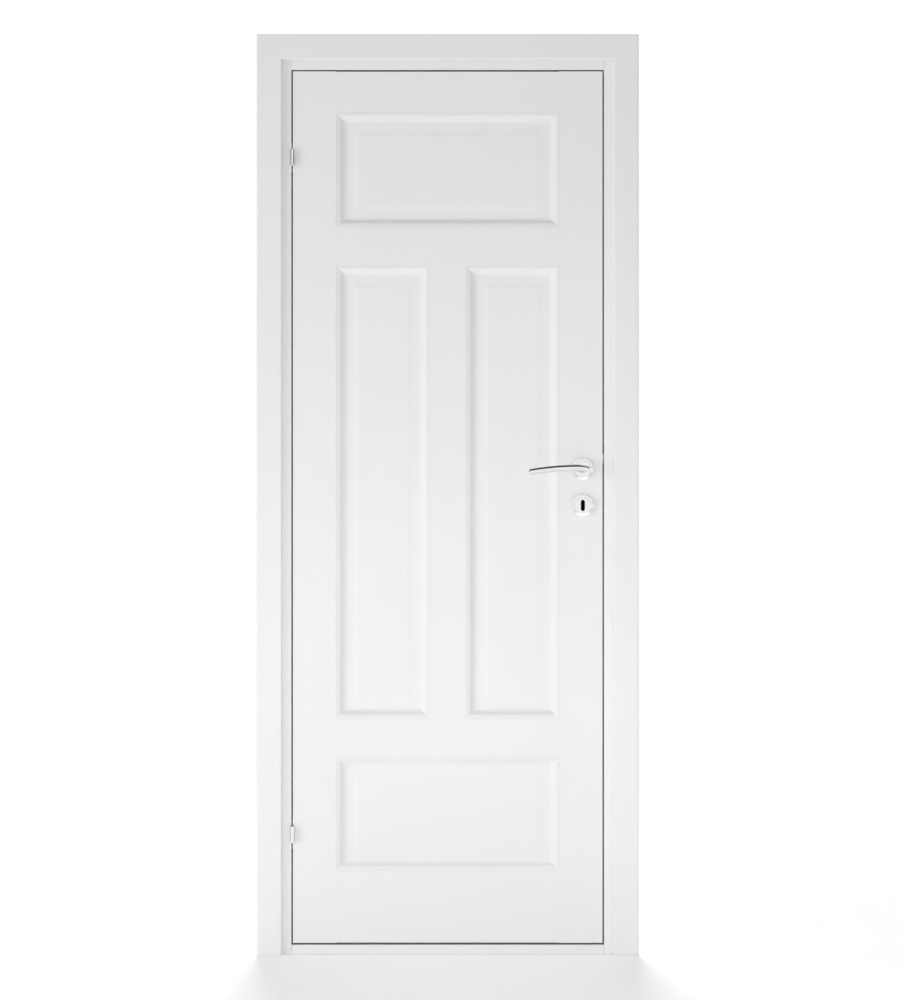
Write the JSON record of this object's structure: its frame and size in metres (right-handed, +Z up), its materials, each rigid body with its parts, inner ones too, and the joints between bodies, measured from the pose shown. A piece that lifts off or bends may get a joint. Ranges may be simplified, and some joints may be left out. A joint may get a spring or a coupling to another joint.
{
  "type": "interior door",
  "caption": "White painted interior door: stile-and-rail leaf with raised fielded panels, hinged in its frame with threshold and architraves, mortise lock and chrome levers.",
  "frame": {"origin": "floor level at the underside of the threshold, mid width and mid depth of the frame", "axes": "+Z up, the front (opening side) faces -Y, +X towards the lock edge"},
  "size_m": [0.891, 0.1462, 2.149],
  "materials": {
    "white_paint": "white satin paint on wood",
    "zinc_plate": "bright zinc plated steel",
    "polished_chrome": "polished chrome plate",
    "bright_steel": "bright drawn steel",
    "seal_rubber": "matt black extruded rubber"
  },
  "bodies": {
    "frame": {"hinge_jamb": "white_paint", "strike_jamb": "white_paint", "head_jamb": "white_paint", "threshold": "white_paint", "frame_joint_screws": "zinc_plate", "rebate_seal": "seal_rubber", "architrave_left": "white_paint", "architrave_right": "white_paint", "architrave_head": "white_paint", "hinge_frame_plate_upper": "zinc_plate", "hinge_frame_plate_lower": "zinc_plate", "hinge_pin_upper": "bright_steel", "hinge_pin_lower": "bright_steel", "frame_hinge_screws": "zinc_plate", "strike_plate": "zinc_plate", "strike_screws": "zinc_plate"},
    "door_leaf": {"hinge_stile": "white_paint", "lock_stile": "white_paint", "top_rail": "white_paint", "frieze_rail": "white_paint", "lower_rail": "white_paint", "bottom_rail": "white_paint", "muntin": "white_paint", "top_panel": "white_paint", "left_panel": "white_paint", "right_panel": "white_paint", "bottom_panel": "white_paint", "hinge_leaf_plate_upper": "zinc_plate", "hinge_leaf_plate_lower": "zinc_plate", "lock_faceplate": "zinc_plate", "leaf_hinge_screws": "zinc_plate", "faceplate_screws": "zinc_plate", "rose_bolts": "zinc_plate", "rose_base_front": "zinc_plate", "rose_base_rear": "zinc_plate", "key_rose_base_front": "zinc_plate", "key_rose_base_rear": "zinc_plate", "rose_cover_front": "polished_chrome", "rose_cover_rear": "polished_chrome", "key_rose_cover_front": "polished_chrome", "key_rose_cover_rear": "polished_chrome", "lock_case": "bright_steel", "lock_cover": "bright_steel", "latch_spring": "bright_steel", "bolt_detent": "bright_steel"},
    "handle": {"front_lever": "polished_chrome", "rear_lever": "polished_chrome", "spindle": "bright_steel", "follower": "zinc_plate", "lever_grub_screws": "bright_steel"},
    "latch": {"latch_bolt": "zinc_plate"},
    "deadbolt": {"deadbolt": "zinc_plate"}
  },
  "joints": [
    {"name": "door_swing", "type": "hinge", "parent": "frame", "child": "door_leaf", "pos_m": [-0.363, -0.0515, 1.072], "axis": [0, 0, -1], "range_deg": [0, 170]},
    {"name": "handle_turn", "type": "hinge", "parent": "door_leaf", "child": "handle", "pos_m": [0.3155, -0.025, 1.135], "axis": [0, -1, 0], "range_deg": [0, 40], "stiffness_Nm_per_rad": 1.2, "springref_deg": -45.84},
    {"name": "latch_slide", "type": "slide", "parent": "door_leaf", "child": "latch", "axis": [-1, 0, 0], "range_m": [0, 0.0112], "deforming": ["latch_spring"]},
    {"name": "bolt_slide", "type": "slide", "parent": "door_leaf", "child": "deadbolt", "axis": [1, 0, 0], "range_m": [0, 0.014], "deforming": ["bolt_detent"]}
  ],
  "couplings": [
    {"joint": "latch_slide", "follows": "handle_turn", "m_per_rad": 0.015756}
  ]
}
